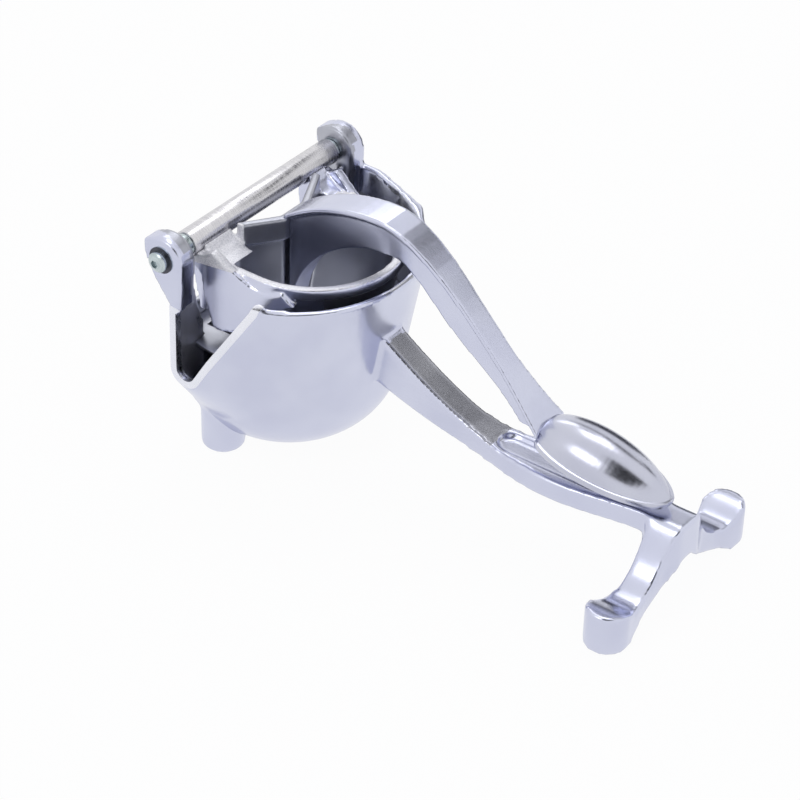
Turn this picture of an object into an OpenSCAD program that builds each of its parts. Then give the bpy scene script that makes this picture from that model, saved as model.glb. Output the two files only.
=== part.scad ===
// Hinged lemon squeezer: a cast base with a bowl, a pouring spout and a long handle, a removable
// strainer basket, and a cast lever that swings on a hinge rod held between the two ears.
// The handle's far end spreads into a whale-tail foot, so the bowl stands on two legs and the foot.
// +X runs from the hinge to the foot, +Y to the side away from the spout, +Z up; Z = 0 is the table.

/* [Overall] */
// Length from the front of the hinge ears to the back of the foot
overall_length = 220; // [214:1:230]
// Height of the hinge axis above the table
hinge_height = 98; // [97:0.5:101]
// Width over the outer faces of the two hinge ears
ear_span = 118; // [116:0.5:122]

/* [Bowl] */
// Distance from the hinge axis to the bowl's upright axis
bowl_x = 18; // [17:0.5:19]
// Outer radius of the bowl's round bottom
bowl_r = 47; // [46.5:0.5:48]
// Outer radius of the bowl at its rim
rim_r = 56; // [55:0.5:57]
// Height of the bowl's rim above the table
rim_height = 86.5; // [84:0.5:87]
// Radius of the round corner between the bowl's bottom and its side
bowl_corner_r = 36; // [33:0.5:38]
// Thickness of the bowl's wall
bowl_wall = 3; // [2.5:0.1:3.2]
// Gap between the bowl's bottom and the table
bowl_lift = 2; // [1:0.5:4]
// Distance from the hinge axis forward to the flat front of the bowl
front_reach = 8; // [7:0.5:9]
// Height of the low front wall of the bowl
front_wall_height = 63; // [62:0.5:66]
// Half the width of the flat front of the bowl
front_half_width = 36; // [35:0.5:37]
// Distance from the hinge axis to the two shoulders beside the flat front
shoulder_x = 2.5; // [2:0.5:3.5]
// Distance from the middle plane to the two shoulders
shoulder_y = 41; // [41:0.5:43]
// Half the width of the front opening at its lower edge
opening_half_width = 39.5; // [38.5:0.1:40.5]

/* [Spout] */
// Height of the lowest point of the pouring lip
lip_height = 46.5; // [44:0.5:50]
// Distance from the hinge axis to the front edge of the spout's mouth
lip_front_x = 4.5; // [4:0.5:5.5]
// Distance from the hinge axis to the back corner of the spout's mouth
lip_back_x = 39; // [37:0.5:41]
// Radius of the round bottom of the spout's mouth
lip_r = 4.5; // [3.5:0.25:5]
// Width of the raised lip round the spout's mouth
spout_lip_w = 3; // [2:0.25:3.5]
// Height of the raised lip over the bowl's flank
spout_lip_rise = 1; // [0.5:0.25:1.5]

/* [Hinge ears] */
// Radius of the round top of each ear
ear_r = 10.3; // [9.5:0.1:10.8]
// Distance from the hinge axis to the pointed front corner of each ear
ear_front = 8.2; // [7.5:0.1:8.8]
// Height of the pointed front corner of each ear over the hinge axis
ear_corner_rise = 7.3; // [6.5:0.1:8]
// Thickness of each ear
ear_t = 9; // [8:0.5:9.5]
// Distance from the hinge axis back to the narrow lower end of the ear
ear_tip_x = 7.5; // [7:0.5:8]
// Height of the narrow lower end of the ear
ear_tip_height = 79; // [77:0.5:81]
// Radius of the narrow lower end of the ear
ear_tip_r = 2.5; // [2:0.25:3]
// Height that the bowl's side walls reach beside the ears
wall_top_height = 92; // [90:0.5:94]
// Height of the far wall's rounded end behind the ear
wall_end_height = 88.5; // [87.5:0.5:89.5]
// Distance from the hinge axis to the far wall's rounded end
wall_end_x = 45; // [42:0.5:47]
// Distance that the far wall's rounded end stands out past the rim
wall_end_reach = 2.5; // [1:0.5:3]

/* [Hinge rod] */
// Diameter of the hinge rod
rod_d = 7; // [6.5:0.5:7.5]
// Gap all round between the rod and what turns or sits on it
rod_play = 0.05; // [0.02:0.01:0.1]
// Diameter of the hinge screws' shanks
screw_d = 4; // [3:0.5:4.5]
// Length of the hinge screws' shanks
screw_l = 20; // [16:1:24]
// Gap all round between the screws' shanks and their holes
screw_play = 0.1; // [0.05:0.05:0.2]
// Diameter of the hinge screws' heads
screw_head_d = 8.5; // [7.5:0.5:9]
// Height of the hinge screws' heads
screw_head_h = 4; // [3.4:0.1:4.2]
// Width of the hexagon sockets across their flats
socket_w = 3; // [2.5:0.5:3.5]
// Depth of the hexagon sockets
socket_depth = 1.6; // [1.2:0.1:2]
// Diameter of the washers under the screw heads
washer_d = 11.5; // [10:0.5:12]
// Thickness of the washers under the screw heads
washer_t = 0.8; // [0.6:0.1:1]
// Depth of the recess in each ear that the washer lies in
recess_depth = 1.4; // [0.8:0.1:1.8]
// Gap all round between a washer and its recess
recess_play = 0.4; // [0.2:0.1:0.5]
// Diameter of the spacers between the barrel and the ears
spacer_d = 10; // [9.5:0.5:11]
// Gap at each end of a spacer
spacer_gap = 0.15; // [0.1:0.05:0.3]

/* [Legs] */
// Diameter of the legs at the table
leg_d = 18; // [16:0.5:19]
// Diameter of the legs where they meet the bowl
leg_top_d = 19; // [18:0.5:20]
// Distance from the hinge axis to the legs
leg_x = 9; // [8:0.5:10]
// Distance from the middle plane to the legs
leg_y = 32; // [31:0.5:33]
// Height of the chamfer round each leg's sole
leg_edge = 1.5; // [1:0.25:2.5]

/* [Handle] */
// Width of the handle behind the bowl
handle_w = 13; // [12:0.5:16]
// Width of the handle under the grip
handle_mid_w = 24; // [20:1:26]
// Height of the handle's top where it leaves the bowl
handle_start_height = 65; // [63:0.5:66]
// Height of the handle's flat top under the grip
handle_top_height = 36; // [34:0.5:37]
// Depth of the handle where it leaves the bowl
handle_start_depth = 24; // [20:0.5:26]
// Depth of the handle under the grip
handle_depth = 9; // [7.5:0.5:10]
// Distance from the bowl's rim to the place where the handle's top turns flat
handle_reach = 55; // [52:1:57]
// Depth of the long pocket in the handle's top
pocket_depth = 2; // [1:0.25:2.5]
// Width of the long pocket in the handle's top
pocket_w = 11; // [9:0.5:12]
// Length of the long pocket in the handle's top
pocket_l = 52; // [44:1:54]

/* [Foot] */
// Width of the foot from tip to tip
foot_w = 100; // [94:1:108]
// Length of the foot's arms along the handle
foot_l = 18; // [16:0.5:19]
// Height of the pads at the foot's tips
pad_height = 17.5; // [16:0.5:19]
// Height of the arch under the middle of the foot
foot_arch_height = 19; // [17:0.5:21]
// Length of the foot's arms along the handle at their narrowest, beside the neck
foot_waist_l = 12; // [11:0.5:14]
// Distance from the middle plane to the lowest point of the two scoops in the foot's top
scoop_y = 33; // [31:0.5:35]
// Height of the foot's top at the lowest point of each scoop
scoop_bottom = 13; // [12:0.5:14]
// Width of the ridge along the middle of the foot
foot_ridge_w = 10; // [8:0.5:12]
// Radius of the inside corners between the handle and the foot's arms
foot_fillet_r = 4; // [3:0.5:6]

/* [Lever] */
// Outer diameter of the lever's barrel
barrel_d = 11; // [10.5:0.5:12]
// Length of the spacer between the barrel and the near ear
near_spacer_l = 6.2; // [5.2:0.1:6.7]
// Length of the spacer between the barrel and the far ear
far_spacer_l = 1.2; // [1:0.1:2.2]
// Thickness of the cheeks
cheek_t = 4; // [3.5:0.25:4.5]
// Angle by which the cheeks draw in towards the press cup
cheek_angle = 9; // [8:0.25:10]
// Distance from the hinge axis to the back end of the cheeks
cheek_back_x = 49; // [46:0.5:51]
// Distance from the middle plane to the crossbar's end on the spout's side
bar_near = 22; // [20:0.5:25]
// Distance from the middle plane to the crossbar's other end
bar_far = 28; // [26:0.5:30]
// Height of the lower edge of the two webs that hang from the barrel beside the press cup
web_foot_height = 67; // [66:0.5:74]
// Thickness of the crossbar
crossbar_t = 3.5; // [3:0.25:4.5]
// Depth of the crossbar's V, from its ends back to its point
crossbar_depth = 14; // [13.5:0.1:14.5]
// Height of the crossbar over the press cup
crossbar_h = 10; // [8:0.5:11]
// Width of the arm over the arch
arch_w = 15; // [13:0.5:18]
// Width of the arm at its narrowest place
waist_w = 10.8; // [10:0.2:12]
// Width of the arm where it meets the grip
arm_end_w = 19; // [16:0.5:20]
// Thickness of the flange along the arm's top
flange_t = 2.2; // [2:0.1:3]
// Distance that the flange stands out past the arm's web on each side
flange_lip = 2; // [1:0.25:2.5]
// Height of the top of the arch
arch_top_height = 117.3; // [115:0.5:120]
// Distance from the hinge axis to the top of the arch
arch_top_x = 66; // [63:0.5:68]
// Depth of the arch from its top face to its underside
arch_depth = 15; // [13:0.5:16]

/* [Press cup] */
// Distance from the hinge axis to the middle of the press cup's round end
press_x = 30; // [29:0.5:30.5]
// Distance from the hinge axis to the flat front of the press cup
press_front_x = 8; // [7:0.5:9]
// Outer radius of the press cup's rim
press_rim_r = 37.5; // [36.5:0.25:38]
// Width of the press cup's rim
press_rim_w = 3.5; // [3:0.25:4.5]
// Height of the top of the press cup's rim
press_rim_height = 91; // [90:0.25:91.5]
// Depth of the press cup's rim
press_rim_h = 5; // [4:0.25:5.5]
// Thickness of the press cup's front wall under the crossbar
press_front_t = 2; // [1.5:0.25:3]
// Outer radius of the press cup's round bottom
press_r = 34.5; // [33.5:0.25:35]
// Height of the middle of the press cup's round bottom
press_z = 84; // [83:0.25:85]
// Thickness of the press cup's wall
press_wall = 3; // [2.5:0.25:3.5]

/* [Grip] */
// Length of the grip
grip_l = 57; // [54:1:60]
// Distance from the back of the foot to the end of the grip
grip_end_gap = 9.5; // [8:0.5:12]
// Width of the grip's dome
grip_w = 30; // [28:0.5:33]
// Height of the grip's underside at its end nearest the hinge
grip_start_height = 47.5; // [46:0.25:49]
// Height of the grip's underside at its tip
grip_tip_height = 39; // [38.5:0.25:40]
// Thickness of the rim round the grip
grip_rim_t = 2.5; // [2:0.25:3.5]
// Distance that the rim stands out past the dome
grip_rim_lip = 0.8; // [0.4:0.1:1.2]

/* [Strainer] */
// Distance from the hinge axis to the middle of the basket's round end
strainer_x = 27; // [26:0.5:28]
// Inner radius of the strainer's basket
strainer_r = 41; // [40.5:0.25:41.5]
// Height of the middle of the basket's round bottom
strainer_z = 80; // [79.5:0.25:81]
// Distance from the hinge axis to the flat front of the basket
strainer_front_x = 2; // [1.5:0.5:4]
// Thickness of the strainer's wall
strainer_wall = 1.6; // [1.2:0.1:2]
// Height of the top of the strainer's flange
strainer_height = 56; // [55:0.5:58]
// Gap between the strainer's flange and the bowl's wall
strainer_play = 0.3; // [0.2:0.1:0.5]
// Number of slots in the strainer's bottom
strainer_slots = 9; // [5:1:10]
// Width of the slots in the strainer's bottom
slot_w = 2.6; // [2:0.2:3.2]
// Distance from one slot to the next
slot_pitch = 5.2; // [4.6:0.2:6]

/* [Hidden] */
$fn = 96;

cast_metal = "#c9ccd2";
machined_metal = "#d6d8dc";
rough_metal = "#a9adb5";
steel = "#8d9096";

// A small overshoot for cuts that run past a face
over = 1;
// The hinge axis, measured from the middle of the whole length
hinge_x = ear_front - overall_length / 2;
// The outer face of the ears, and the back of the foot, measured from the hinge axis
side_y = ear_span / 2;
ear_inner = side_y - ear_t;
// The barrel's two ends, each a gap, a spacer and a gap away from its ear
barrel_near = ear_inner - near_spacer_l - 2 * spacer_gap;
barrel_far = ear_inner - far_spacer_l - 2 * spacer_gap;
foot_back = overall_length - ear_front;

// The bowl's profile: flat bottom, round corner, and a straight flare that leaves it at a tangent
corner_c = [bowl_r - bowl_corner_r, bowl_lift + bowl_corner_r];
rim_reach = [rim_r, rim_height] - corner_c;
flare = acos(bowl_corner_r / norm(rim_reach)) - atan2(rim_reach[1], rim_reach[0]);
// The straight wall starts this far inside the round corner, so that the two cross cleanly
corner_overlap = 0.01;
// The flared wall's outer radius at a height, less an inset measured square to the wall
function wall_r(z, inset) =
    rim_r - (rim_height - z) * tan(flare) - inset / cos(flare);

// The front's outline from above: flat, then back to a shoulder, then across to the spout's edge
front_line = [
    [-front_reach, 0], [-front_reach, front_half_width],
    [shoulder_x, shoulder_y], [lip_front_x, side_y]
];
// The inward direction of one stretch of it, and one of its corners moved inwards by a wall
function facing_in(i) =
    let (run = front_line[i + 1] - front_line[i]) [run[1], -run[0]] / norm(run);
function set_in(i, inset) =
    let (a = facing_in(i - 1), b = facing_in(i)) front_line[i] + inset * (a + b) / (1 + a * b);

// The lowest part of the spout's mouth, and the straight edge that rises from it to the rim
mouth_x = lip_front_x + bowl_wall;
mouth_c = [mouth_x + lip_r, lip_height + lip_r];
mouth_run = [lip_back_x, rim_height] - mouth_c;
mouth_angle = atan2(mouth_run[1], mouth_run[0]) - acos(lip_r / norm(mouth_run));
mouth_tangent = mouth_c + lip_r * [cos(mouth_angle), sin(mouth_angle)];

// The flanks meet the round bowl at a faint crease, because their round ends are a little smaller
flank_gap = 0.8;

// The far wall's rounded end lies on a circle a little larger than the rim
wall_end_r = 3;
wall_end_out = rim_r + wall_end_reach - wall_end_r;
wall_end_y = sqrt(pow(wall_end_out, 2) - pow(wall_end_x - bowl_x, 2));

// Where the handle becomes the foot, and where its flat end stops inside the foot's back
neck_x = foot_back - foot_l - 15;
neck_end_x = foot_back - 12;
handle_start_x = bowl_x + bowl_r / 2;

// The grip's ends and the slope of its underside
grip_back = foot_back - grip_end_gap;
grip_front = grip_back - grip_l;
grip_slope = atan2(grip_start_height - grip_tip_height, grip_l);

// The press cup's front is a wide V: its point carries the arch, its ends reach forward
crossbar_root_x = press_front_x + crossbar_depth;

// A point of a cubic curve, and the list of points along it
function curve_point(p, t) =
    pow(1 - t, 3) * p[0] + 3 * t * pow(1 - t, 2) * p[1]
    + 3 * t * t * (1 - t) * p[2] + pow(t, 3) * p[3];
function curve(p, steps) = [for (i = [0 : steps]) curve_point(p, i / steps)];
function curve_rest(p, steps) = [for (i = [1 : steps]) curve_point(p, i / steps)];
function reversed(list) = [for (i = [len(list) - 1 : -1 : 0]) list[i]];

// The arm's top line: up from the crossbar, over the arch, and down to the grip
arm_front = [crossbar_root_x - crossbar_t, press_rim_height + crossbar_h - 1];
arm_crest = [arch_top_x, arch_top_height];
arm_knee = arm_crest + [40, -24.3];
arm_end = [grip_front + 1, grip_start_height + 5];
arm_top = concat(
    curve([arm_front, arm_front + [9, 8.5], arm_crest - [20, 0], arm_crest], 12),
    curve_rest([arm_crest, arm_crest + [13, 0], arm_knee + [-14, 14], arm_knee], 10),
    curve_rest([arm_knee, arm_knee + [12, -12], arm_end + [-15, 13.5], arm_end], 10)
);
// The arm's underside: up from the press cup's floor, under the arch, and along the arm
neck_foot = [crossbar_root_x + 1.5, press_z - press_r * 0.64];
under_crest = arm_crest + [6, -arch_depth];
under_knee = under_crest + [24, -18.3];
under_end = [grip_front - 10, grip_start_height + 4];
arm_under = concat(
    curve([neck_foot, neck_foot + [2, 18], under_crest - [28, 0], under_crest], 14),
    curve_rest([under_crest, under_crest + [8, 0], under_knee + [-8, 8.5], under_knee], 8),
    curve_rest([under_knee, under_knee + [11, -11.5], under_end + [-13, 11.5], under_end], 8)
);

// The handle's top and underside, from the bowl to the foot
handle_low_x = bowl_x + rim_r + handle_reach;
handle_top = concat(
    curve([
        [handle_start_x, handle_start_height + handle_start_depth * 0.7],
        [handle_start_x + handle_reach * 0.4, handle_start_height + handle_depth * 0.55],
        [handle_low_x - handle_reach * 0.58, handle_top_height + handle_depth / 3],
        [handle_low_x, handle_top_height]
    ], 12),
    [[foot_back, handle_top_height]]
);
handle_under = concat(
    curve([
        [handle_start_x, handle_start_height - handle_start_depth * 0.55],
        [handle_start_x + handle_reach * 0.55, handle_start_height - handle_start_depth * 1.12],
        [handle_low_x - handle_reach * 0.4, handle_top_height - handle_depth * 1.1],
        [handle_low_x + handle_reach * 0.36, handle_top_height - handle_depth]
    ], 12),
    [[foot_back, handle_top_height - handle_depth]]
);
// Half the handle's width at a place along it: it swells under the grip
swell_start = handle_low_x - handle_reach * 0.4;
function handle_half(x) =
    handle_w / 2 + (handle_mid_w - handle_w) / 2
    * (x < swell_start ? 0 : pow(sin(180 * (x - swell_start) / (neck_end_x - swell_start)), 2));

// Everything is drawn from the hinge axis and then placed along X
module placed() {
    translate([hinge_x, 0, 0]) children();
}

// A flat outline drawn in X and Z, given a width along Y and centred on the middle plane
module side_plate(width) {
    rotate([90, 0, 0]) translate([0, 0, -width / 2]) linear_extrude(width) children();
}

// The bowl's round form, inset by a wall and carried up past the rim
module bowl_form(inset, top) {
    low = corner_c + (bowl_corner_r - inset - corner_overlap) * [cos(flare), -sin(flare)];
    translate([bowl_x, 0, 0]) rotate_extrude() intersection() {
        union() {
            translate(corner_c) circle(bowl_corner_r - inset);
            polygon([
                [0, bowl_lift + inset], [corner_c[0], bowl_lift + inset], corner_c, low,
                [wall_r(top, inset), top], [0, top]
            ]);
        }
        square([2 * rim_r, top]);
    }
}

// The bowl drawn out sideways to both ears, which makes the spout's flat flanks
module spout_form(inset, top_gain) {
    hull() {
        translate([bowl_x, 0, 0]) rotate_extrude($fn = 48) intersection() {
            translate(corner_c) circle(bowl_corner_r - inset - flank_gap, $fn = 48);
            square(bowl_r);
        }
        translate([bowl_x, 0, rim_height - 1 + top_gain])
            cylinder(h = 1, r = rim_r - inset - flank_gap, $fn = 48);
        translate([
            wall_end_x - inset / 2, wall_end_y - inset * 0.9, wall_end_height - 1 + top_gain
        ])
            cylinder(h = 1, r = wall_end_r, $fn = 24);
        for (side = [-1, 1]) translate([mouth_c[0], side * (side_y - inset - 0.5), 0]) {
            translate([0, 0, mouth_c[1]]) rotate([90, 0, 0])
                cylinder(h = 1, r = lip_r + bowl_wall - 1.1 * inset, center = true, $fn = 32);
            translate([1.1 * inset - lip_r - bowl_wall, -0.5, mouth_c[1]]) cube([
                2 * (lip_r + bowl_wall - 1.1 * inset), 1,
                wall_top_height - mouth_c[1] + top_gain
            ]);
        }
    }
}

// The outline that cuts the bowl flat at its front, moved inwards by a wall
module front_clip(inset) {
    side_line = [
        set_in(1, inset), set_in(2, inset),
        [lip_front_x + inset / facing_in(2)[0], side_y], [foot_back, side_y]
    ];
    translate([0, 0, -over]) linear_extrude(2 * hinge_height)
        polygon(concat(side_line, reversed([for (p = side_line) [p[0], -p[1]]])));
}

module bowl_outside() {
    intersection() {
        union() {
            bowl_form(0, rim_height);
            spout_form(0, 0);
        }
        front_clip(0);
    }
}

module bowl_inside() {
    intersection() {
        union() {
            bowl_form(bowl_wall, rim_height + 20);
            spout_form(bowl_wall, 20);
        }
        front_clip(bowl_wall);
    }
}

// One ear: round over the hinge axis and drawn in below it to a narrow end at the spout's edge
module ear_outline() {
    top_c = [0.6, hinge_height];
    corner = [-ear_front, hinge_height + ear_corner_rise];
    tip_c = [ear_tip_x, ear_tip_height];
    back = top_c + [ear_r, 0];
    translate(tip_c) circle(ear_tip_r);
    polygon(concat(
        curve([corner, corner + [-0.6, -9], tip_c + [-9, 8], tip_c + [-ear_tip_r, 0]], 14),
        [tip_c + [ear_tip_r, 0]],
        [for (a = [0 : 7.5 : 105]) top_c + ear_r * [cos(a), sin(a)]]
    ));
}

// The front is low between the ears, and the opening over it widens towards them
module front_opening() {
    half_line = [
        [opening_half_width, front_wall_height], [ear_inner, hinge_height],
        [ear_inner, 2 * hinge_height]
    ];
    translate([-2 * front_reach, 0, 0]) rotate([90, 0, 90])
        linear_extrude(2 * front_reach + mouth_x)
            polygon(concat(half_line, reversed([for (p = half_line) [-p[0], p[1]]])));
}

// The spout's mouth seen from its side, made larger all round by a margin
module mouth_outline(margin) {
    slope_out = margin * [cos(mouth_angle), sin(mouth_angle)];
    translate(mouth_c) circle(lip_r + margin);
    polygon([
        [mouth_x - margin, mouth_c[1]], mouth_c, mouth_tangent + slope_out,
        [lip_back_x, rim_height] + slope_out, [lip_back_x + 4, hinge_height] + slope_out,
        [mouth_x - margin, hinge_height]
    ]);
}

// The spout's mouth carried through the near flank
module through_flank() {
    translate([0, -side_y / 2, 0]) rotate([90, 0, 0]) linear_extrude(side_y) children();
}

// A lip stands out from the near flank all round the mouth
module spout_lip() {
    intersection() {
        spout_form(-spout_lip_rise, 0);
        front_clip(-spout_lip_rise);
        through_flank() mouth_outline(spout_lip_w);
    }
}

module bowl() {
    color(cast_metal) placed() difference() {
        union() {
            difference() {
                union() {
                    bowl_outside();
                    spout_lip();
                }
                bowl_inside();
                front_opening();
                through_flank() mouth_outline(0);
            }
            for (side = [-1, 1])
                translate([0, side * (side_y - ear_t / 2), 0]) side_plate(ear_t) ear_outline();
        }
        // The screws' holes and the washers' recesses
        for (side = [-1, 1]) translate([0, 0, hinge_height]) rotate([-90 * side, 0, 0]) {
            cylinder(h = side_y + over, d = screw_d + 2 * screw_play);
            translate([0, 0, side_y - recess_depth])
                cylinder(h = recess_depth + over, d = washer_d + 2 * recess_play);
        }
    }
}

// A leg stands on the table and ends against the underside of the bowl
module leg(side) {
    color(cast_metal) placed() difference() {
        translate([leg_x, side * leg_y, 0]) {
            cylinder(h = leg_edge, d1 = leg_d - 2 * leg_edge, d2 = leg_d);
            translate([0, 0, leg_edge])
                cylinder(h = lip_height - leg_edge, d1 = leg_d, d2 = leg_top_d);
        }
        bowl_outside();
    }
}

module near_leg() { leg(-1); }
module far_leg() { leg(1); }

// The handle's outline from above, swelling under the grip, up to the place where the foot begins
module handle_plan(x0, x1, steps) {
    xs = [for (i = [0 : steps]) x0 + (x1 - x0) * i / steps];
    polygon(concat(
        [for (x = xs) [x, -handle_half(x)]],
        reversed([for (x = xs) [x, handle_half(x)]])
    ));
}

module handle_side() {
    polygon(concat(handle_top, reversed(handle_under)));
}

module handle() {
    color(cast_metal) placed() difference() {
        intersection() {
            side_plate(2 * handle_mid_w) handle_side();
            linear_extrude(2 * hinge_height) handle_plan(handle_start_x, neck_x, 28);
        }
        bowl_form(0, rim_height);
        // The long pocket with round ends
        translate([handle_low_x, 0, handle_top_height - pocket_depth])
            linear_extrude(hinge_height) {
                circle(d = pocket_w);
                translate([pocket_l - pocket_w, 0]) circle(d = pocket_w);
                translate([0, -pocket_w / 2]) square([pocket_l - pocket_w, pocket_w]);
            }
    }
}

// The foot from behind: a ridge in the middle, a scoop on each side and a pad at each tip
module foot_back_view() {
    half_top = concat(
        curve([
            [foot_ridge_w / 2, handle_top_height], [foot_ridge_w / 2 + 7, handle_top_height - 1],
            [scoop_y * 0.42, scoop_bottom + 0.5], [scoop_y, scoop_bottom]
        ], 14),
        curve_rest([
            [scoop_y, scoop_bottom], [scoop_y + 5, scoop_bottom],
            [scoop_y + 8, pad_height], [foot_w / 2, pad_height]
        ], 8)
    );
    half_under = [
        [foot_w / 2, 0], [foot_w * 0.36, 0], [foot_w * 0.3, foot_arch_height * 0.2],
        [handle_w * 0.9, foot_arch_height * 0.62], [handle_w * 0.25, foot_arch_height]
    ];
    half = concat(half_top, half_under);
    polygon(concat(half, reversed([for (p = half) [-p[0], p[1]]])));
}

// The foot from above: two arms with round tips, and round inside corners beside the neck
module foot_plan() {
    tip_r = foot_l / 2;
    tip_y = foot_w / 2 - tip_r;
    waist_back = foot_back - (foot_l - foot_waist_l) * 0.4;
    waist_front = waist_back - foot_waist_l;
    for (side = [0, 1]) mirror([0, side]) {
        polygon([
            [waist_front, -over], [waist_front, scoop_y * 0.75], [foot_back - foot_l, tip_y],
            [foot_back, tip_y], [waist_back, scoop_y * 0.75], [waist_back, handle_w],
            [foot_back, handle_w / 2], [foot_back, -over]
        ]);
        translate([foot_back - tip_r, tip_y]) circle(tip_r);
        difference() {
            translate([waist_front - foot_fillet_r, handle_w / 2]) square(foot_fillet_r);
            translate([waist_front - foot_fillet_r, handle_w / 2 + foot_fillet_r])
                circle(foot_fillet_r);
        }
    }
}

module foot() {
    color(cast_metal) placed() {
        intersection() {
            linear_extrude(hinge_height) foot_plan();
            translate([neck_x, 0, 0]) rotate([90, 0, 90]) linear_extrude(foot_back - neck_x)
                foot_back_view();
        }
        // The neck keeps the handle's depth and narrows into the arms
        intersection() {
            side_plate(2 * handle_mid_w) handle_side();
            linear_extrude(hinge_height) handle_plan(neck_x, neck_end_x, 8);
        }
    }
}

// A trough with a round end: a ball, a lying cylinder in front of it and a flat front
module trough(x, z, r, front, top) {
    intersection() {
        union() {
            translate([x, 0, z]) sphere(r);
            translate([x, 0, z]) rotate([0, -90, 0]) cylinder(h = x - front, r = r);
            translate([x, 0, z]) cylinder(h = top - z, r = r);
            translate([front, -r, z]) cube([x - front, 2 * r, top - z]);
        }
        translate([front, -r, 0]) cube([x + r - front, 2 * r, top]);
    }
}

module strainer() {
    basket_out = strainer_r + strainer_wall;
    color(rough_metal) placed() difference() {
        union() {
            intersection() {
                trough(strainer_x, strainer_z, basket_out, strainer_front_x - strainer_wall,
                    strainer_z + over);
                cube([4 * rim_r, 4 * rim_r, 2 * strainer_height], center = true);
            }
            // The flange follows the flared wall of the bowl and its flat front
            intersection() {
                translate([bowl_x, 0, strainer_height - strainer_wall])
                    cylinder(
                        h = strainer_wall,
                        r1 = wall_r(strainer_height - strainer_wall, bowl_wall + strainer_play),
                        r2 = wall_r(strainer_height, bowl_wall + strainer_play)
                    );
                front_clip(bowl_wall + strainer_play);
            }
        }
        trough(strainer_x, strainer_z, strainer_r, strainer_front_x, strainer_z + over);
        for (i = [0 : strainer_slots - 1])
            translate([
                strainer_front_x + 6,
                (i - (strainer_slots - 1) / 2) * slot_pitch - slot_w / 2,
                0
            ])
                cube([press_x, slot_w, strainer_z - strainer_r * 0.7]);
    }
}

module hinge_rod() {
    half = ear_inner - spacer_gap;
    color(steel) placed() translate([0, 0, hinge_height]) rotate([-90, 0, 0]) difference() {
        translate([0, 0, -half]) cylinder(h = 2 * half, d = rod_d);
        for (side = [0, 1]) mirror([0, 0, side])
            translate([0, 0, side_y - recess_depth + washer_t - screw_l - over])
                cylinder(h = screw_l, d = screw_d + 2 * screw_play);
    }
}

// A ring on the hinge axis from one place along Y to another
module hinge_ring(y0, y1, outer_d, inner_d) {
    placed() translate([0, y0, hinge_height]) rotate([-90, 0, 0]) difference() {
        cylinder(h = y1 - y0, d = outer_d);
        translate([0, 0, -over]) cylinder(h = y1 - y0 + 2 * over, d = inner_d);
    }
}

module near_spacer() {
    color(steel) hinge_ring(
        spacer_gap - ear_inner, -spacer_gap - barrel_near, spacer_d, rod_d + 2 * rod_play
    );
}

module far_spacer() {
    color(steel) hinge_ring(
        barrel_far + spacer_gap, ear_inner - spacer_gap, spacer_d, rod_d + 2 * rod_play
    );
}

module washer(side) {
    inner = side_y - recess_depth;
    outer = inner + washer_t;
    color(steel) hinge_ring(
        side > 0 ? inner : -outer, side > 0 ? outer : -inner, washer_d, screw_d + 2 * screw_play
    );
}

module near_washer() { washer(-1); }
module far_washer() { washer(1); }

// A button-headed screw with a hexagon socket, driven into the end of the rod
module screw(side) {
    seat = side_y - recess_depth + washer_t;
    head_dome_r = screw_head_d * 0.7;
    color(steel) placed() translate([0, 0, hinge_height]) rotate([-90 * side, 0, 0])
        difference() {
            union() {
                translate([0, 0, seat - screw_l]) cylinder(h = screw_l, d = screw_d);
                intersection() {
                    translate([0, 0, seat]) cylinder(h = screw_head_h, d = screw_head_d);
                    translate([0, 0, seat + screw_head_h - head_dome_r]) sphere(head_dome_r);
                }
            }
            translate([0, 0, seat + screw_head_h - socket_depth])
                cylinder(h = socket_depth + over, d = socket_w / cos(30), $fn = 6);
        }
}

module near_screw() { screw(-1); }
module far_screw() { screw(1); }

module lever_barrel() {
    color(machined_metal) hinge_ring(-barrel_near, barrel_far, barrel_d, rod_d + 2 * rod_play);
}

// The cheek's outline in X and Z: under the barrel, dipping beside the press cup
module cheek_outline() {
    rim = press_rim_height;
    polygon([
        [-1, hinge_height], [press_front_x - 1, rim + 4], [press_front_x + 4.5, rim + 7],
        [press_front_x + 11, rim + 2], [press_front_x + 16.5, rim - 1.5],
        [press_front_x + 21, rim - 4], [press_front_x + 26, rim - 5.3],
        [cheek_back_x - 11, rim - 4.8], [cheek_back_x - 6, rim - 2.7], [cheek_back_x - 3, rim - 5.5],
        [cheek_back_x, rim - 7], [cheek_back_x - 8, rim - 13], [press_front_x + 22, rim - 22],
        [press_front_x + 13, rim - 28], [press_front_x + 6, rim - 29], [press_front_x + 4, rim - 28],
        [press_front_x + 2, rim - 21], [press_front_x, rim - 14], [press_front_x - 1.5, rim - 5],
        [-1, hinge_height - barrel_d / 2]
    ]);
}

// A cheek hangs from the barrel's end and covers the side of the press cup
module cheek(side) {
    color(cast_metal) placed() difference() {
        translate([0, side * barrel_near, 0]) rotate([0, 0, -side * cheek_angle])
            translate([0, -side * cheek_t / 2, 0]) side_plate(cheek_t) cheek_outline();
        translate([0, 0, hinge_height]) rotate([90, 0, 0])
            cylinder(h = 2 * side_y, d = barrel_d, center = true);
        press_rim_solid(press_rim_r, over);
        trough(press_x, press_z, press_r, press_front_x, press_rim_height);
    }
}

module near_cheek() { cheek(-1); }
module far_cheek() { cheek(1); }

// The press cup's rim: a round back and straight sides
module press_rim_solid(r, extra) {
    translate([0, 0, press_rim_height - press_rim_h]) linear_extrude(press_rim_h + extra) {
        translate([press_x, 0]) circle(r);
        translate([press_front_x, -r]) square([press_x - press_front_x, 2 * r]);
    }
}

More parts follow.
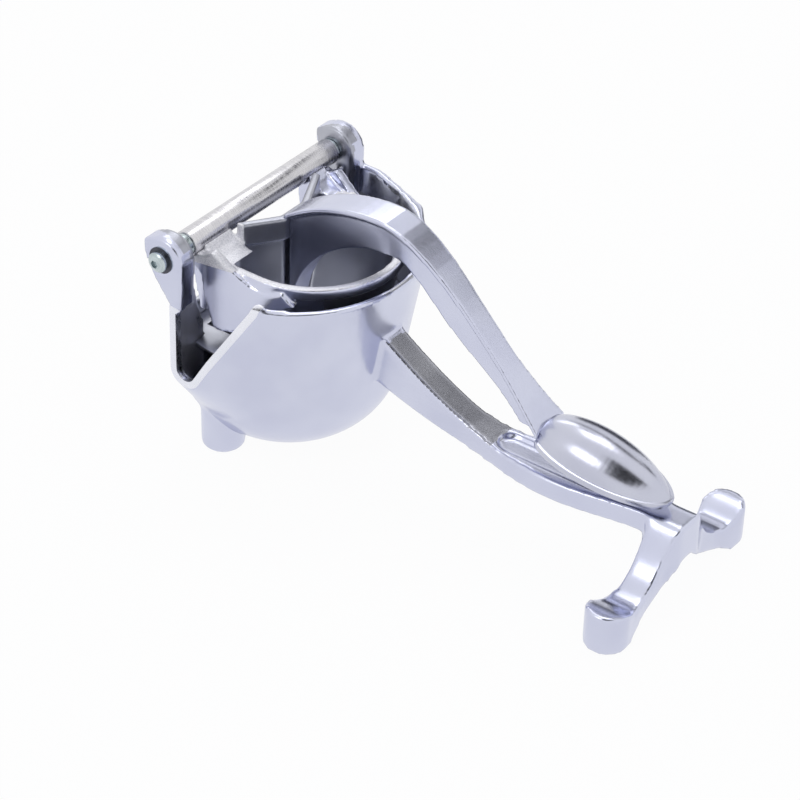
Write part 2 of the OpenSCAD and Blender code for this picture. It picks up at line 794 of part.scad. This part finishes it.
// Everything behind the press cup's V-shaped front, seen from above
module press_plan(depth) {
    root = [crossbar_root_x - crossbar_t + depth, arch_w / 2 - 1 + depth / 3];
    end_x = press_front_x + depth;
    polygon([
        [root[0], -root[1]], [end_x, -bar_near], [end_x, -side_y], [foot_back, -side_y],
        [foot_back, side_y], [end_x, side_y], [end_x, bar_far], root
    ]);
}

module press_cup() {
    rim_inner = press_rim_r - press_rim_w;
    color(cast_metal) placed() difference() {
        intersection() {
            union() {
                trough(press_x, press_z, press_r, press_front_x, press_rim_height - over);
                press_rim_solid(press_rim_r, 0);
            }
            linear_extrude(hinge_height) press_plan(0);
        }
        intersection() {
            union() {
                trough(press_x, press_z, press_r - press_wall, press_front_x, hinge_height);
                translate([0, 0, press_rim_height - press_rim_h])
                    linear_extrude(hinge_height) {
                        translate([press_x, 0]) circle(rim_inner);
                        translate([press_front_x, -rim_inner])
                            square([press_x - press_front_x, 2 * rim_inner]);
                    }
            }
            linear_extrude(2 * hinge_height) press_plan(press_front_t);
        }
    }
}

// The crossbar stands on the V-shaped front
module crossbar_plan() {
    difference() {
        press_plan(0);
        press_plan(crossbar_t);
        translate([0, -bar_near - side_y]) square(2 * side_y, center = true);
        translate([0, bar_far + side_y]) square(2 * side_y, center = true);
    }
}

// A web joins the barrel, the cheek and the press cup's rim on each side of the crossbar, and
// hangs down in front of the cup
module web_outline() {
    rim = press_rim_height;
    polygon([
        [0, hinge_height], [barrel_d * 0.47, hinge_height], [press_front_x + 0.5, rim + 3.5],
        [press_front_x + 4.5, rim + 1.3], [press_front_x + 10, rim],
        [press_front_x + 6, rim - press_rim_h],
        [press_front_x, rim - press_rim_h], [press_front_x, web_foot_height],
        [press_front_x * 0.4, web_foot_height], [0, hinge_height - barrel_d]
    ]);
}

// The web from one place along Y to another
module web(y0, y1) {
    translate([0, (y0 + y1) / 2, 0]) side_plate(y1 - y0) web_outline();
}

module crossbar() {
    color(rough_metal) placed() difference() {
        union() {
            translate([0, 0, press_rim_height]) linear_extrude(crossbar_h) crossbar_plan();
            web(-barrel_near, -bar_near);
            web(bar_far, barrel_near);
        }
        translate([0, 0, hinge_height]) rotate([90, 0, 0])
            cylinder(h = 2 * side_y, d = barrel_d, center = true);
        press_rim_solid(press_rim_r, 0);
        cheek_space();
    }
}

// The room taken by both cheeks and all beyond them
module cheek_space() {
    for (side = [-1, 1])
        translate([0, side * (barrel_near - cheek_t / cos(cheek_angle)), 0])
            rotate([0, 0, -side * cheek_angle])
            translate([0, side * side_y, hinge_height]) cube(2 * side_y, center = true);
}

// Half the arm's width at a place along it: narrowest halfway down, wider towards the grip
waist_x = arm_knee[0] + 15;
function to_waist(x) = pow(sin(90 * (x - arch_top_x) / (waist_x - arch_top_x)), 2);
function past_waist(x) = pow((x - waist_x) / (grip_front - waist_x), 1.6);
function arm_half(x) =
    x < arch_top_x ? arch_w / 2
    : x < waist_x ? (arch_w - (arch_w - waist_w) * to_waist(x)) / 2
    : (waist_w + (arm_end_w - waist_w) * past_waist(x)) / 2;

module arm_plan(inset) {
    xs = concat(
        [press_front_x, arch_top_x - 10],
        [for (i = [0 : 16]) arch_top_x + (grip_front + 6 - arch_top_x) * i / 16]
    );
    polygon(concat(
        [for (x = xs) [x, inset - arm_half(x)]],
        reversed([for (x = xs) [x, arm_half(x) - inset]])
    ));
}

module lever_arm() {
    neck_front = [
        [crossbar_root_x, neck_foot[1]], [crossbar_root_x, press_rim_height],
        [arm_front[0], press_rim_height]
    ];
    color(cast_metal) placed() difference() {
        union() {
            intersection() {
                side_plate(2 * arch_w) polygon(concat(neck_front, arm_top, reversed(arm_under)));
                linear_extrude(2 * hinge_height) arm_plan(flange_lip);
            }
            intersection() {
                side_plate(2 * arch_w) polygon(concat(
                    arm_top, reversed([for (p = arm_top) p - [0, flange_t / cos(35)]])
                ));
                linear_extrude(2 * hinge_height) arm_plan(0);
            }
        }
        translate([0, 0, press_rim_height]) linear_extrude(crossbar_h) crossbar_plan();
        grip_solid();
    }
}

// The grip lies along its own axis, which leans down towards the tip
module on_grip_axis() {
    translate([grip_front, 0, grip_start_height]) rotate([0, grip_slope, 0]) children();
}

// The dome is a little less than half round: its axis lies this far under the rim's top
dome_drop = 3;
// Half the dome's width along the grip: broad where the arm meets it, blunt at the tip
dome_line = curve([
    [0, grip_w * 0.3], [grip_l * 0.22, grip_w * 0.6],
    [grip_l * 0.84, grip_w * 0.52], [grip_l, grip_w * 0.06]
], 28);

module grip_solid() {
    on_grip_axis() {
        intersection() {
            translate([0, 0, grip_rim_t - dome_drop]) rotate([0, 90, 0]) rotate_extrude()
                polygon(concat([[0, 0]], [for (p = dome_line) [p[1], p[0]]], [[0, grip_l]]));
            translate([-over, -grip_w, grip_rim_t]) cube([grip_l + 2 * over, 2 * grip_w, grip_w]);
        }
        linear_extrude(grip_rim_t) polygon(concat(
            [for (p = dome_line) [p[0], -p[1] - grip_rim_lip]],
            reversed([for (p = dome_line) [p[0], p[1] + grip_rim_lip]])
        ));
    }
}

module grip() {
    color(cast_metal) placed() grip_solid();
}

bowl();
near_leg();
far_leg();
handle();
foot();
strainer();
hinge_rod();
near_spacer();
far_spacer();
near_washer();
far_washer();
near_screw();
far_screw();
lever_barrel();
near_cheek();
far_cheek();
crossbar();
press_cup();
lever_arm();
grip();
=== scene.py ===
"""A hinged lemon squeezer of polished die-cast aluminium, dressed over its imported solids."""

import math

import bpy
from mathutils import Matrix, Vector


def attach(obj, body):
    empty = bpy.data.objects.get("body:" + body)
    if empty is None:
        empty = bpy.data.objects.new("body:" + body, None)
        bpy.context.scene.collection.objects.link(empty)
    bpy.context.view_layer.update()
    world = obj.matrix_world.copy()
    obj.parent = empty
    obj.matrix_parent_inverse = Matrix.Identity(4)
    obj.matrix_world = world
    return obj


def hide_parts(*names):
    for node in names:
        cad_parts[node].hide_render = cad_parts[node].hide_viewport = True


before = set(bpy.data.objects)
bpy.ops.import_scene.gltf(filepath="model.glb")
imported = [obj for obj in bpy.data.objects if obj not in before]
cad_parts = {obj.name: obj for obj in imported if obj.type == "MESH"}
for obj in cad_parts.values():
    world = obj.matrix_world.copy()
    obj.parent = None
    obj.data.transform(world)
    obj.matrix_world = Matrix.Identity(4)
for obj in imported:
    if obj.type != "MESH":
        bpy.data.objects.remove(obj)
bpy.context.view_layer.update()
bpy.ops.object.select_all(action="DESELECT")

MM = 0.001
# Where the hinge axis lies along X, in millimetres
HINGE_X = -101.8
# Edges sharper than this are rounded off, and those sharper than the next stay a crease
SHARP = math.radians(40)
CREASE = math.radians(35)


# Materials


def linear(hex_colour):
    """An sRGB hex colour as the linear values that a shader takes."""
    values = [int(hex_colour[i : i + 2], 16) / 255 for i in (1, 3, 5)]
    return [v / 12.92 if v <= 0.04045 else ((v + 0.055) / 1.055) ** 2.4 for v in values] + [1.0]


def add_node(material, kind, links=(), **settings):
    """Adds a node with its settings, and links (its socket, other node, other socket)."""
    tree = material.node_tree
    made = tree.nodes.new(kind)
    for name, value in settings.items():
        if name.startswith("in_"):
            key = name[3:]
            made.inputs[int(key) if key.isdigit() else key.replace("_", " ")].default_value = value
        else:
            setattr(made, name, value)
    for socket, other, out in links:
        tree.links.new(other.outputs[out], made.inputs[socket])
    return made


def new_material(name):
    """A material with an empty node tree."""
    material = bpy.data.materials.new(name)
    material.use_nodes = True
    material.node_tree.nodes.clear()
    return material


def finish_metal(material, colour, roughness, normal):
    """The metal's shader and output. Each input is a node with a single result."""
    shader = add_node(
        material, "ShaderNodeBsdfPrincipled",
        [("Base Color", colour, 0), ("Roughness", roughness, 0), ("Normal", normal, 0)],
        in_Metallic=1.0,
    )
    add_node(material, "ShaderNodeOutputMaterial", [("Surface", shader, 0)])


def ramp(material, source, stops):
    """A colour ramp over a node's first result, from two (place, sRGB hex) stops."""
    made = add_node(material, "ShaderNodeValToRGB", [("Fac", source, 0)])
    for element, (where, colour) in zip(made.color_ramp.elements, stops):
        element.position = where
        element.color = linear(colour)
    return made


def polished_casting(name, light, dark, roughness):
    """Die-cast aluminium, tumbled and buffed: a soft mirror with a faint wave from the die,
    hair-fine buffing marks and wide, hardly darker patches where the buff pressed less."""
    material = new_material(name)
    coordinates = add_node(material, "ShaderNodeTexCoord")
    # Patches about 25 mm across
    clouds = add_node(
        material, "ShaderNodeTexNoise", [("Vector", coordinates, "Object")],
        in_Scale=40.0, in_Detail=2.0, in_Roughness=0.5,
    )
    tint = ramp(material, clouds, [(0.35, dark), (0.65, light)])
    # Buffing marks 0.4 mm apart, drawn out along the length
    stretch = add_node(
        material, "ShaderNodeMapping", [("Vector", coordinates, "Object")],
        in_Scale=(100, 2400, 2400),
    )
    marks = add_node(
        material, "ShaderNodeTexNoise", [("Vector", stretch, 0)], in_Scale=1.0, in_Detail=2.0
    )
    rough = add_node(
        material, "ShaderNodeMapRange", [("Value", marks, 0)], in_From_Min=0.3, in_From_Max=0.7,
        in_To_Min=roughness, in_To_Max=roughness + 0.07,
    )
    # The die's wave, about 11 mm from crest to crest
    wave = add_node(
        material, "ShaderNodeTexNoise", [("Vector", coordinates, "Object")], in_Scale=90.0
    )
    waved = add_node(
        material, "ShaderNodeBump", [("Height", wave, 0)], in_Strength=0.05, in_Distance=0.0006
    )
    finish_metal(material, tint, rough, waved)
    return material


def as_cast(name, light, dark):
    """Die-cast aluminium left as it came from the die: pale, matt and sandy."""
    material = new_material(name)
    coordinates = add_node(material, "ShaderNodeTexCoord")
    # Sand grains of about 0.5 mm, as coarse as they need to be to show
    grain = add_node(
        material, "ShaderNodeTexNoise", [("Vector", coordinates, "Object")],
        in_Scale=2000.0, in_Detail=2.0, in_Roughness=0.6,
    )
    tint = ramp(material, grain, [(0.35, dark), (0.6, light)])
    rough = add_node(
        material, "ShaderNodeMapRange", [("Value", grain, 0)],
        in_From_Min=0.3, in_From_Max=0.7, in_To_Min=0.42, in_To_Max=0.6,
    )
    grained = add_node(
        material, "ShaderNodeBump", [("Height", grain, 0)], in_Strength=0.5, in_Distance=0.0003
    )
    finish_metal(material, tint, rough, grained)
    return material


def turned(name, light, dark, roughness):
    """Metal turned on a lathe: fine rings round the hinge axis, which runs along Y."""
    material = new_material(name)
    coordinates = add_node(material, "ShaderNodeTexCoord")
    # Tool rings 1 mm apart, broken up by a softer unevenness
    stretch = add_node(
        material, "ShaderNodeMapping", [("Vector", coordinates, "Object")],
        in_Scale=(150, 1000, 150),
    )
    rings = add_node(
        material, "ShaderNodeTexNoise", [("Vector", stretch, 0)], in_Scale=1.0, in_Detail=3.0
    )
    tint = ramp(material, rings, [(0.3, dark), (0.65, light)])
    rough = add_node(
        material, "ShaderNodeMapRange", [("Value", rings, 0)], in_From_Min=0.3, in_From_Max=0.7,
        in_To_Min=roughness, in_To_Max=roughness + 0.12,
    )
    ringed = add_node(
        material, "ShaderNodeBump", [("Height", rings, 0)], in_Strength=0.04, in_Distance=0.0002
    )
    finish_metal(material, tint, rough, ringed)
    return material


# The castings' outside: pale and faintly blue, a mirror that blurs what it reflects
POLISHED = polished_casting("polished_die_cast_aluminium", "#d0d3e5", "#c9cce0", 0.2)
# The grip's dome: the polished metal painted a little darker as shade, and clearer, so that dark
# and light bands cross it
DOME_PAINTED_DARKER = polished_casting("satin_die_cast_aluminium", "#c8cad8", "#bfc1d1", 0.19)
# The lip of the spout: painted nearly white as a highlight, so that its edge stands out from the
# flank
LIP_PAINTED_HIGHLIGHT = polished_casting("lip_aluminium_painted_highlight", "#eeeff7", "#e4e6f0", 0.24)
# Inside the bowl and the cup, on the crossbar and the strainer: a duller grey, painted darker as
# shade
PAINTED_SHADE_GREY = polished_casting("aluminium_painted_shade_grey", "#b9bbc4", "#a8aab5", 0.28)
# The hollow on top of the handle: painted shade, the darkest grey of the casting
HOLLOW_PAINTED_SHADE = polished_casting("handle_hollow_aluminium_painted_shade", "#aeafb7", "#999aa3", 0.24)
# The walls inside the ears: painted paler as light, and soft, with no clear reflection
WALLS_PAINTED_LIGHTER = polished_casting("ear_walls_aluminium_painted_lighter", "#dcdde6", "#cfd0da", 0.42)
# The cup's rim and the near web: nearly white, matt and sandy
ROUGH = as_cast("as_cast_aluminium", "#eeeef3", "#cdced6")
# The barrel: a neutral light grey with fine rings
TURNED = turned("turned_aluminium", "#d8d7da", "#c8c7cc", 0.2)
# Spacers and screws: a cool, slightly green grey
ZINC = turned("zinc_plated_steel", "#c9d3d6", "#a9b4b8", 0.2)
# Rod and washers: dark steel, painted nearly black as shade, so that the screws stand out in their
# recesses
DARK_STEEL_AND_SHADE = turned("dark_steel_and_painted_shade", "#55565e", "#3a3b43", 0.3)


# Pieces


def only(piece):
    """Makes a piece the one selected and active object."""
    bpy.ops.object.select_all(action="DESELECT")
    piece.select_set(True)
    bpy.context.view_layer.objects.active = piece


def apply_modifier(piece, kind, **settings):
    """Adds a modifier with its settings and applies it."""
    modifier = piece.modifiers.new(kind.lower(), kind)
    for name, value in settings.items():
        setattr(modifier, name, value)
    only(piece)
    bpy.ops.object.modifier_apply(modifier=modifier.name)


def copy_of(name, nodes):
    """The solids of some nodes as one new mesh with its doubled corners merged."""
    copies = []
    for node in nodes:
        piece = bpy.data.objects.new(name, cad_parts[node].data.copy())
        bpy.context.scene.collection.objects.link(piece)
        copies.append(piece)
    only(copies[0])
    for piece in copies:
        piece.select_set(True)
    if len(copies) > 1:
        bpy.ops.object.join()
    piece = bpy.context.view_layer.objects.active
    bpy.ops.object.mode_set(mode="EDIT")
    bpy.ops.mesh.select_all(action="SELECT")
    bpy.ops.mesh.remove_doubles(threshold=0.00001)
    bpy.ops.mesh.customdata_custom_splitnormals_clear()
    bpy.ops.object.mode_set(mode="OBJECT")
    piece.name = name
    return piece


def cast_in_one(name, nodes, grid, passes):
    """A casting: its solids run together and every edge and inside corner is rounded off."""
    piece = copy_of(name, nodes)
    apply_modifier(piece, "REMESH", mode="VOXEL", voxel_size=grid * MM, use_smooth_shade=True)
    apply_modifier(piece, "SMOOTH", factor=0.5, iterations=passes)
    return piece


def break_edges(piece, width, segments):
    """Rounds a piece's sharp edges off, over a width in millimetres."""
    apply_modifier(
        piece, "BEVEL", width=width * MM, segments=segments, limit_method="ANGLE",
        angle_limit=SHARP, use_clamp_overlap=True,
    )
    only(piece)
    bpy.ops.object.shade_smooth_by_angle(angle=CREASE)


def complete(piece, body, nodes, slot, *materials):
    """Gives a finished piece its materials and its body, and hides the nodes it stands for. The
    slot is not used.
    """
    piece.data.materials.clear()
    for material in materials:
        piece.data.materials.append(material)
    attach(piece, body)
    if nodes:
        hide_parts(*nodes)


def small_part(name, body, node, bevel, slot, material):
    """A turned or stamped part: the node's own form with its edges broken."""
    piece = copy_of(name, [node])
    break_edges(piece, bevel, 2)
    complete(piece, body, [node], slot, material)


def from_hinge(face):
    """A face's middle, in millimetres from the hinge axis along X."""
    return Vector((face.center.x / MM - HINGE_X, face.center.y / MM, face.center.z / MM))


def finish_faces(piece, material, chosen):
    """Gives one of a piece's materials to the faces that a test on face and middle chooses."""
    number = piece.data.materials.find(material.name)
    for face in piece.data.polygons:
        if chosen(face, from_hinge(face)):
            face.material_index = number


# The base casting: bowl, spout, ears, legs, handle and foot run together. All the places
# below are in millimetres from the hinge axis along X, the middle plane and the table.
BASE_NODES = ["bowl", "near_leg", "far_leg", "handle", "foot"]
BOWL_AXIS_X = 18.0
# The bowl's inner wall at the rim, and how far it leans in for each millimetre below
BOWL_RIM_R = 53.5
BOWL_RIM_Z = 86.5
BOWL_LEAN = 0.174
# The bowl's round bottom corner inside: its radius, its middle's height and place
CORNER_R = 36
CORNER_Z = 38
CORNER_REACH = 11


def beside_the_ears(face, middle):
    """The inner faces of the two side walls in front, which are painted paler as light."""
    if middle.x > 16 or not 36 < abs(middle.y) < 56 or not 40 < middle.z < 79:
        return False
    inward = face.normal.y * middle.y < 0 and abs(face.normal.y) > 0.35
    return inward or (middle.x < 10 and face.normal.x > 0.5)


def in_the_bowl(face, middle):
    """Faces of the bowl's inside: they look towards its axis and lie over its bottom."""
    outward = Vector((middle.x - BOWL_AXIS_X, middle.y))
    reach = outward.length
    wall = BOWL_RIM_R - (BOWL_RIM_Z - middle.z) * BOWL_LEAN
    if reach > wall or beside_the_ears(face, middle):
        return False
    bottom = CORNER_Z - math.sqrt(max(0, CORNER_R**2 - max(0, reach - CORNER_REACH) ** 2))
    if middle.z < bottom + 1.5:
        return False
    return outward.normalized().dot(face.normal.xy) < -0.15 or face.normal.z > 0.5


def on_the_handle_slope(face, middle):
    """The hollow top of the handle behind the bowl, which is painted darker as shade."""
    return 72 < middle.x < 124 and middle.z > 27 and abs(middle.y) < 9 and face.normal.z > 0.6


base = cast_in_one("base_casting", BASE_NODES, 0.95, 6)
complete(base, "base", BASE_NODES, "cast_metal", POLISHED, PAINTED_SHADE_GREY, WALLS_PAINTED_LIGHTER, HOLLOW_PAINTED_SHADE)
# The handle's hollow is painted darker as shade
finish_faces(base, HOLLOW_PAINTED_SHADE, on_the_handle_slope)
# The bowl's inside is painted darker as shade
finish_faces(base, PAINTED_SHADE_GREY, in_the_bowl)
# The walls beside the ears are painted paler as light
finish_faces(base, WALLS_PAINTED_LIGHTER, beside_the_ears)

# The raised lip round the spout's mouth keeps its crisp edges: round below, then up a slope
MOUTH_CENTRE = Vector((12.0, 51.0))
MOUTH_R = 4.5
SLOPE_OUT = Vector((0.853, -0.522))
LIP_W = 3.1


def on_the_lip(middle, normal):
    """The band outside the mouth on the near flank, and its two edges."""
    from_centre = Vector((middle.x, middle.z)) - MOUTH_CENTRE
    if from_centre.x < 0 < from_centre.y:
        distance = -from_centre.x
    elif from_centre.dot(Vector((-SLOPE_OUT.y, SLOPE_OUT.x))) > 0:
        distance = from_centre.dot(SLOPE_OUT)
    else:
        distance = from_centre.length
    # In front of the mouth the band ends under the ear
    on_flank = middle.y < -48 and (middle.z < 79.5 or middle.x > MOUTH_CENTRE.x)
    return on_flank and -0.1 < distance - MOUTH_R < LIP_W and normal.y < 0.3


lip = copy_of("spout_lip", ["bowl"])
bpy.ops.object.mode_set(mode="EDIT")
bpy.ops.mesh.select_mode(type="FACE")
bpy.ops.mesh.select_all(action="DESELECT")
bpy.ops.object.mode_set(mode="OBJECT")
for polygon in lip.data.polygons:
    polygon.select = not on_the_lip(from_hinge(polygon), polygon.normal)
bpy.ops.object.mode_set(mode="EDIT")
bpy.ops.mesh.delete(type="FACE")
bpy.ops.mesh.select_mode(type="VERT")
bpy.ops.object.mode_set(mode="OBJECT")
break_edges(lip, 0.4, 3)
# The lip band is painted nearly white as a highlight
complete(lip, "base", [], "cast_metal", LIP_PAINTED_HIGHLIGHT)

# The lever's cup, cheeks and crossbar are cast in one too
CUP_NODES = ["press_cup", "near_cheek", "far_cheek", "crossbar"]
CUP_AXIS_X = 30.0
CUP_RIM_Z = 91.0
# The crossbar runs between these two webs
NEAR_WEB_Y = -21.5
FAR_WEB_Y = 28.5


def outward_in_the_cup(middle):
    """From the cup's axis to a face's middle, level. The cup is straight in front of it."""
    return Vector((max(middle.x - CUP_AXIS_X, 0), middle.y))


def in_the_cup(face, middle):
    """Faces of the press cup's inside, under its rim."""
    outward = outward_in_the_cup(middle)
    if outward.length > 34.6 or middle.z > CUP_RIM_Z - 0.6 or middle.x < 8.5:
        return False
    inward = outward.normalized().dot(face.normal.xy) < -0.1
    return inward or face.normal.z > 0.3 or face.normal.x > 0.7


def as_it_was_cast(face, middle):
    """The cup's rim from above, and the crossbar's near web."""
    if middle.z > CUP_RIM_Z + 0.4:
        return middle.y < NEAR_WEB_Y
    reach = outward_in_the_cup(middle).length
    return middle.z > 76 and face.normal.z > 0.6 and reach < 37.9


def on_the_crossbar(face, middle):
    """The V-shaped bar between the two webs, over the cup's rim."""
    between = NEAR_WEB_Y <= middle.y <= FAR_WEB_Y
    return middle.z > CUP_RIM_Z + 0.4 and between and middle.x > 7


cup = cast_in_one("cup_casting", CUP_NODES, 0.62, 4)
complete(cup, "lever", CUP_NODES, "cast_metal", POLISHED, ROUGH, PAINTED_SHADE_GREY)
finish_faces(cup, ROUGH, as_it_was_cast)
# The cup's inside and the crossbar are painted darker as shade
finish_faces(cup, PAINTED_SHADE_GREY, in_the_cup)
finish_faces(cup, PAINTED_SHADE_GREY, on_the_crossbar)

arm = cast_in_one("arm_casting", ["lever_arm"], 0.45, 5)
complete(arm, "lever", ["lever_arm"], "cast_metal", POLISHED)

# The dome takes the copy painted darker as shade
small_part("grip_dome", "lever", "grip", 0.35, "cast_metal", DOME_PAINTED_DARKER)
small_part("barrel_tube", "lever", "lever_barrel", 0.5, "machined_metal", TURNED)
# The strainer is painted darker as shade
small_part("strainer_basket", "base", "strainer", 0.25, "rough_metal", PAINTED_SHADE_GREY)
# The rod is dark steel with painted shade
small_part("rod", "base", "hinge_rod", 0.3, "steel", DARK_STEEL_AND_SHADE)
for side in ("near", "far"):
    small_part(side + "_spacer_ring", "base", side + "_spacer", 0.3, "steel", ZINC)
    # The washers are dark steel painted nearly black as shade
    small_part(side + "_washer_ring", "base", side + "_washer", 0.15, "steel", DARK_STEEL_AND_SHADE)
    small_part(side + "_socket_screw", "base", side + "_screw", 0.15, "steel", ZINC)


# Studio


def pale_floor():
    """A wide white floor that shows as white and keeps a faint shadow."""
    bpy.ops.mesh.primitive_plane_add(size=12, location=(0, 0, -0.0002))
    floor = bpy.context.active_object
    floor.name = "studio_floor"
    material = new_material("white_paper_floor")
    matt = add_node(material, "ShaderNodeBsdfDiffuse", in_Color=linear("#f4f4f6"))
    glow = add_node(material, "ShaderNodeEmission", in_Color=linear("#ffffff"), in_Strength=1.0)
    rays = add_node(material, "ShaderNodeLightPath")
    seen = add_node(
        material, "ShaderNodeMath", [(0, rays, "Is Camera Ray"), (1, rays, "Is Glossy Ray")],
        operation="MAXIMUM",
    )
    share = add_node(material, "ShaderNodeMath", [(0, seen, 0)], in_1=0.95, operation="MULTIPLY")
    mixed = add_node(
        material, "ShaderNodeMixShader", [(0, share, 0), (1, matt, 0), (2, glow, 0)]
    )
    add_node(material, "ShaderNodeOutputMaterial", [("Surface", mixed, 0)])
    floor.data.materials.append(material)


def studio_world():
    """A soft light from all round, which the camera, reflections and glass see as white."""
    world = bpy.data.worlds.new("white_studio")
    bpy.context.scene.world = world
    world.use_nodes = True
    world.node_tree.nodes.clear()
    white = add_node(world, "ShaderNodeBackground", in_Color=linear("#ffffff"), in_Strength=1.0)
    soft = add_node(world, "ShaderNodeBackground", in_Color=linear("#f2f3f8"), in_Strength=0.8)
    rays = add_node(world, "ShaderNodeLightPath")
    seen = add_node(
        world, "ShaderNodeMath", [(0, rays, "Is Camera Ray"), (1, rays, "Is Glossy Ray")],
        operation="MAXIMUM",
    )
    seen_all = add_node(
        world, "ShaderNodeMath", [(0, seen, 0), (1, rays, "Is Transmission Ray")],
        operation="MAXIMUM",
    )
    mixed = add_node(world, "ShaderNodeMixShader", [(0, seen_all, 0), (1, soft, 0), (2, white, 0)])
    add_node(world, "ShaderNodeOutputWorld", [("Surface", mixed, 0)])


def softbox(name, location, size, radiance):
    """A square lamp aimed at the object, as bright as its radiance says."""
    lamp = bpy.data.lights.new(name, "AREA")
    lamp.shape = "SQUARE"
    lamp.size = size
    lamp.energy = radiance * math.pi * size * size
    thing = bpy.data.objects.new(name, lamp)
    bpy.context.scene.collection.objects.link(thing)
    thing.location = location
    aim = Vector((0, 0, 0.05)) - Vector(location)
    thing.rotation_euler = aim.to_track_quat("-Z", "Y").to_euler()


def card(name, centre, width, height, lean, tilt, colour, strength):
    """A card beside or over the object that only reflections see: it gives the polished
    metal its dark and bright bands. A lean of 90 stands it up, and then the tilt turns it
    in its own plane."""
    bpy.ops.mesh.primitive_plane_add(size=1)
    made = bpy.context.active_object
    made.name = name
    made.location = centre
    made.scale = (width, height, 1)
    made.rotation_euler = (math.radians(lean), math.radians(tilt), 0)
    material = new_material("paper_" + name)
    glow = add_node(
        material, "ShaderNodeEmission", in_Color=linear(colour), in_Strength=strength
    )
    add_node(material, "ShaderNodeOutputMaterial", [("Surface", glow, 0)])
    made.data.materials.append(material)
    made.visible_camera = False
    made.visible_diffuse = False
    made.visible_shadow = False
    made.visible_transmission = False


pale_floor()
studio_world()
softbox("window_lamp", (-0.22, -0.85, 0.92), 0.45, 2.4)
softbox("top_lamp", (-0.2, 0.5, 1.2), 0.45, 2.0)
card("dark_middle_card", (0.09, 0.3, 0.362), 0.2, 0.062, 90, 0, "#0c0c10", 1.0)
card("dark_upper_card", (0.08, 0.3, 0.43), 0.14, 0.06, 90, 0, "#2c2c34", 1.0)
card("dark_left_card", (-0.105, 0.3, 0.32), 0.215, 0.06, 90, -17, "#44454e", 1.0)
card("grey_right_card", (0.185, 0.3, 0.26), 0.08, 0.1, 90, 0, "#44454c", 1.0)
card("dark_low_card", (-0.03, 0.3, 0.08), 0.16, 0.14, 90, 0, "#3c3d46", 1.0)
card("grey_upper_card", (-0.13, 0.3, 0.53), 0.14, 0.12, 90, 0, "#85868f", 1.0)
card("bright_card", (-0.295, 0.3, 0.41), 0.24, 0.13, 90, 0, "#ffffff", 2.6)
card("dark_overhead_card", (0.28, -0.42, 0.48), 0.34, 0.7, 0, 0, "#0c0c10", 1.0)


def photo_camera():
    """The camera as it was solved from the photograph: its angle, distance, aim and roll."""
    azimuth, elevation, roll = (math.radians(a) for a in (35.409, 35.320, 1.809))
    aim, to_the_right, upwards, distance = Vector((-0.0010, 0, 0.040)), -0.02134, 0.00314, 1.183
    back = Vector((
        math.sin(azimuth) * math.cos(elevation),
        -math.cos(azimuth) * math.cos(elevation),
        math.sin(elevation),
    ))
    level = Vector((math.cos(azimuth), math.sin(azimuth), 0))
    rise = back.cross(level)
    right = level * math.cos(roll) + rise * math.sin(roll)
    up = rise * math.cos(roll) - level * math.sin(roll)
    camera_data = bpy.data.cameras.new("photo_camera")
    camera_data.sensor_width = 36.0
    camera_data.lens = 134.43
    camera_data.clip_start = 0.05
    camera = bpy.data.objects.new("photo_camera", camera_data)
    bpy.context.scene.collection.objects.link(camera)
    centre = aim + right * to_the_right + up * upwards + back * distance
    axes = Matrix((right, up, back)).transposed().to_4x4()
    camera.matrix_world = Matrix.Translation(centre) @ axes
    bpy.context.scene.camera = camera


photo_camera()
bpy.context.scene.view_settings.view_transform = "Standard"
